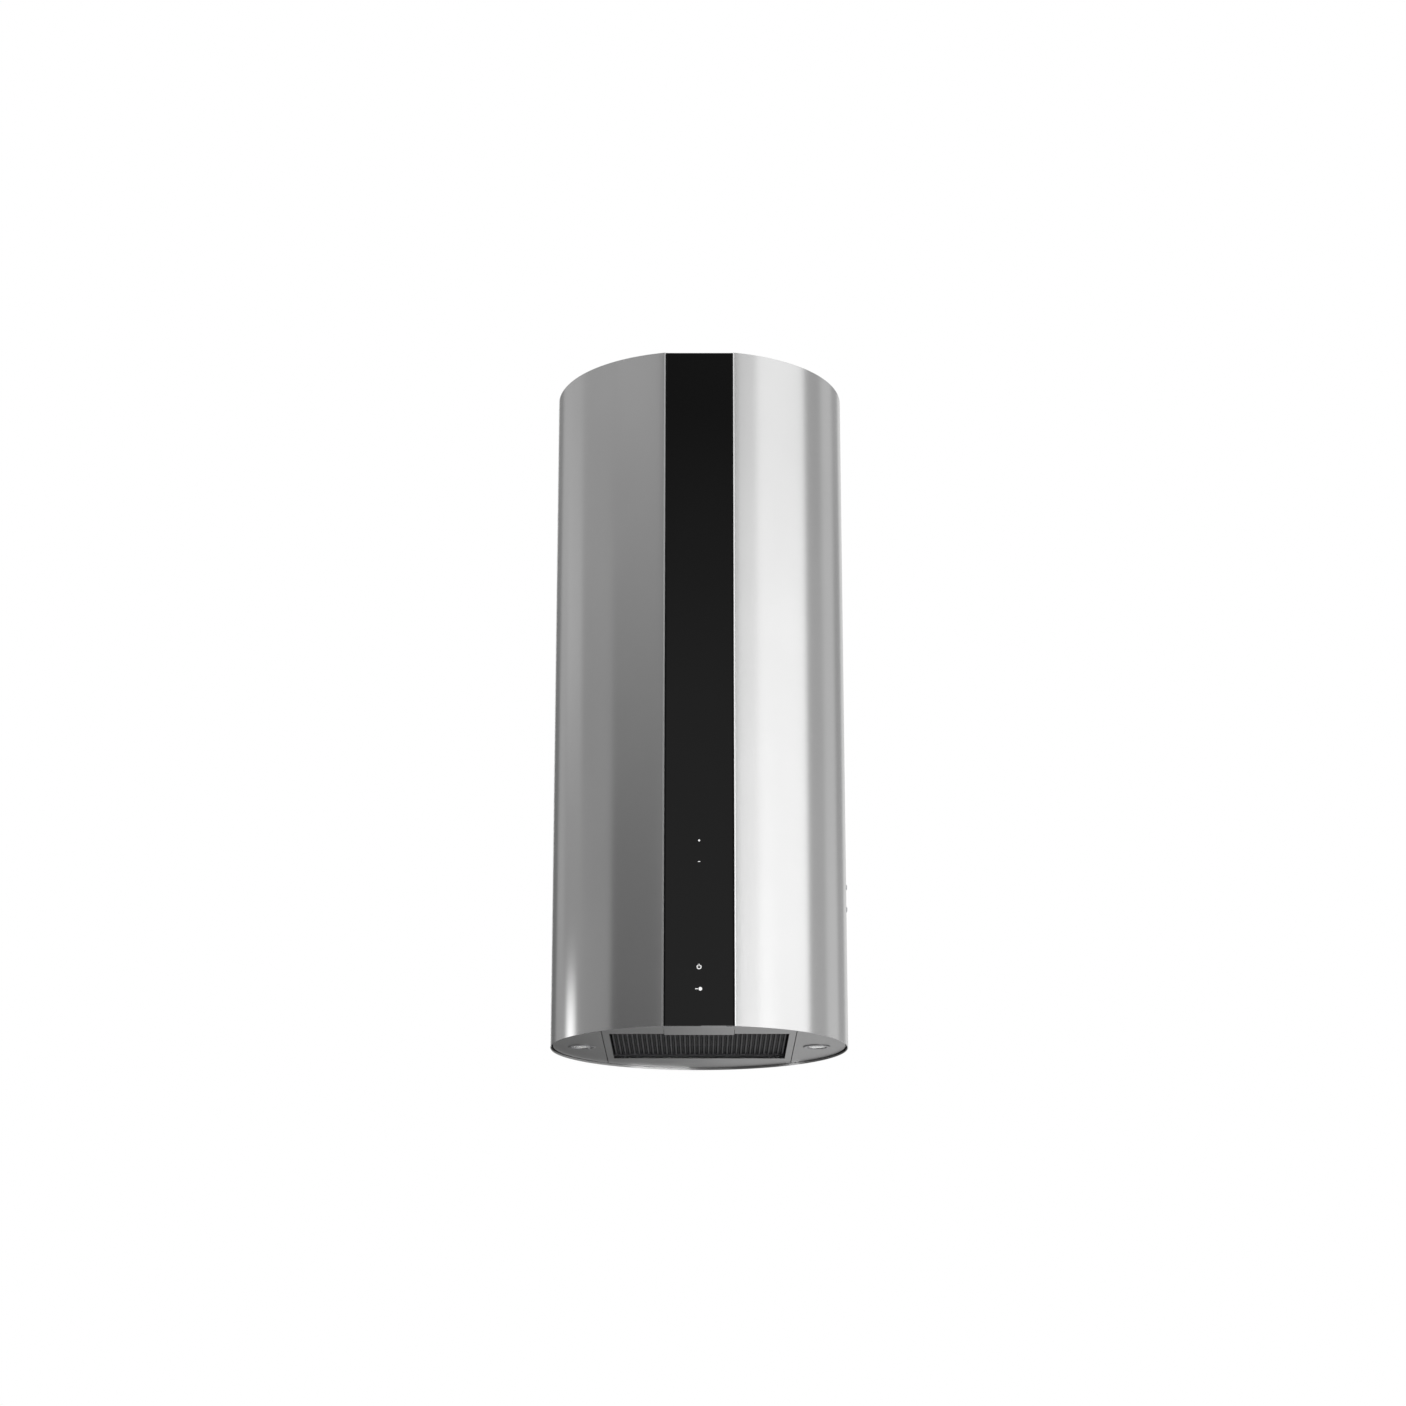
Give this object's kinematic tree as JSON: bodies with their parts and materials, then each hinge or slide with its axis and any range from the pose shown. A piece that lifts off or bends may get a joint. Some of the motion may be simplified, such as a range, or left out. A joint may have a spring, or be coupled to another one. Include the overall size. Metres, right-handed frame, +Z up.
{
  "type": "island range hood",
  "caption": "Cylindrical island range hood with a glass control strip, duct outlet with damper, lamps and a hinged grease filter door.",
  "frame": {"origin": "middle of the ceiling plate's top face, which lies against the ceiling, on the tube's axis", "axes": "+Z up along the tube's axis, the glass control strip faces -Y, +X to the right seen from the front"},
  "size_m": [0.3913, 0.3844, 0.9],
  "materials": {
    "brushed_steel": "satin brushed",
    "black_glass": "gloss black",
    "zinc_steel": "galvanised",
    "spring_steel": "bright",
    "filter_aluminium": "dull",
    "dark_bezel": "satin dark",
    "lamp_lens": "frosted",
    "cast_aluminium": "cast",
    "bronze": "sintered",
    "black_plastic": "moulded",
    "white_plastic": "moulded",
    "circuit_board": "solder mask",
    "soft_rubber": "soft"
  },
  "bodies": {
    "hood_body": {"outer_tube": "brushed_steel", "tube_screw_upper": "brushed_steel", "tube_screw_lower": "brushed_steel", "lamp_plate_left": "brushed_steel", "lamp_plate_right": "brushed_steel", "front_glass": "black_glass", "glass_channel": "zinc_steel", "side_bracket_left": "zinc_steel", "side_bracket_right": "zinc_steel", "ceiling_plate": "zinc_steel", "frame_brace": "zinc_steel", "chassis_box": "zinc_steel", "hinge_hook_left": "zinc_steel", "hinge_hook_right": "zinc_steel", "latch_strike": "zinc_steel", "scroll_left": "zinc_steel", "scroll_right": "zinc_steel", "motor_bracket": "zinc_steel", "control_box": "zinc_steel", "control_box_lid": "zinc_steel", "post_upper_front_left": "zinc_steel", "post_upper_front_right": "zinc_steel", "post_upper_rear_left": "zinc_steel", "post_upper_rear_right": "zinc_steel", "post_lower_front_left": "zinc_steel", "post_lower_front_right": "zinc_steel", "post_lower_rear_left": "zinc_steel", "post_lower_rear_right": "zinc_steel", "damper_pin_front": "spring_steel", "damper_pin_rear": "spring_steel", "lamp_bezel_left": "dark_bezel", "lamp_bezel_right": "dark_bezel", "lamp_lens_left": "lamp_lens", "lamp_lens_right": "lamp_lens", "lamp_body_left": "cast_aluminium", "lamp_body_right": "cast_aluminium", "motor_body": "cast_aluminium", "motor_bearing_front": "bronze", "motor_bearing_rear": "bronze", "touch_housing": "black_plastic", "outlet_collar": "black_plastic", "cable_gland": "black_plastic", "terminal_block": "white_plastic", "lamp_driver": "white_plastic", "capacitor": "white_plastic", "touch_board": "circuit_board", "main_board": "circuit_board", "motor_mount_ring": "soft_rubber"},
    "filter_door": {"filter_panel": "brushed_steel", "filter_frame": "filter_aluminium", "filter_grille": "filter_aluminium", "filter_mesh": "filter_aluminium", "filter_hinge_pin_left": "spring_steel", "filter_hinge_pin_right": "spring_steel", "latch_spring": "spring_steel"},
    "latch": {"latch_plate": "brushed_steel"},
    "fan": {"impeller": "black_plastic", "motor_shaft": "spring_steel"},
    "damper_front": {"damper_flap_front": "white_plastic"},
    "damper_rear": {"damper_flap_rear": "white_plastic"}
  },
  "joints": [
    {"name": "filter_swing", "type": "hinge", "parent": "hood_body", "child": "filter_door", "pos_m": [0, 0.128, -0.89], "axis": [1, 0, 0], "range_deg": [0, 80]},
    {"name": "latch_slide", "type": "slide", "parent": "filter_door", "child": "latch", "axis": [0, 1, 0], "range_m": [0, 0.006], "stiffness_N_per_m": 500, "springref_m": -0.006, "deforming": ["latch_spring"]},
    {"name": "fan_spin", "type": "hinge", "parent": "hood_body", "child": "fan", "pos_m": [0, -0.02, -0.735], "axis": [1, 0, 0], "continuous": true},
    {"name": "damper_front_swing", "type": "hinge", "parent": "hood_body", "child": "damper_front", "pos_m": [0, -0.004, -0.5204], "axis": [-1, 0, 0], "range_deg": [0, 75]},
    {"name": "damper_rear_swing", "type": "hinge", "parent": "hood_body", "child": "damper_rear", "pos_m": [0, 0.004, -0.5204], "axis": [1, 0, 0], "range_deg": [0, 75]}
  ]
}
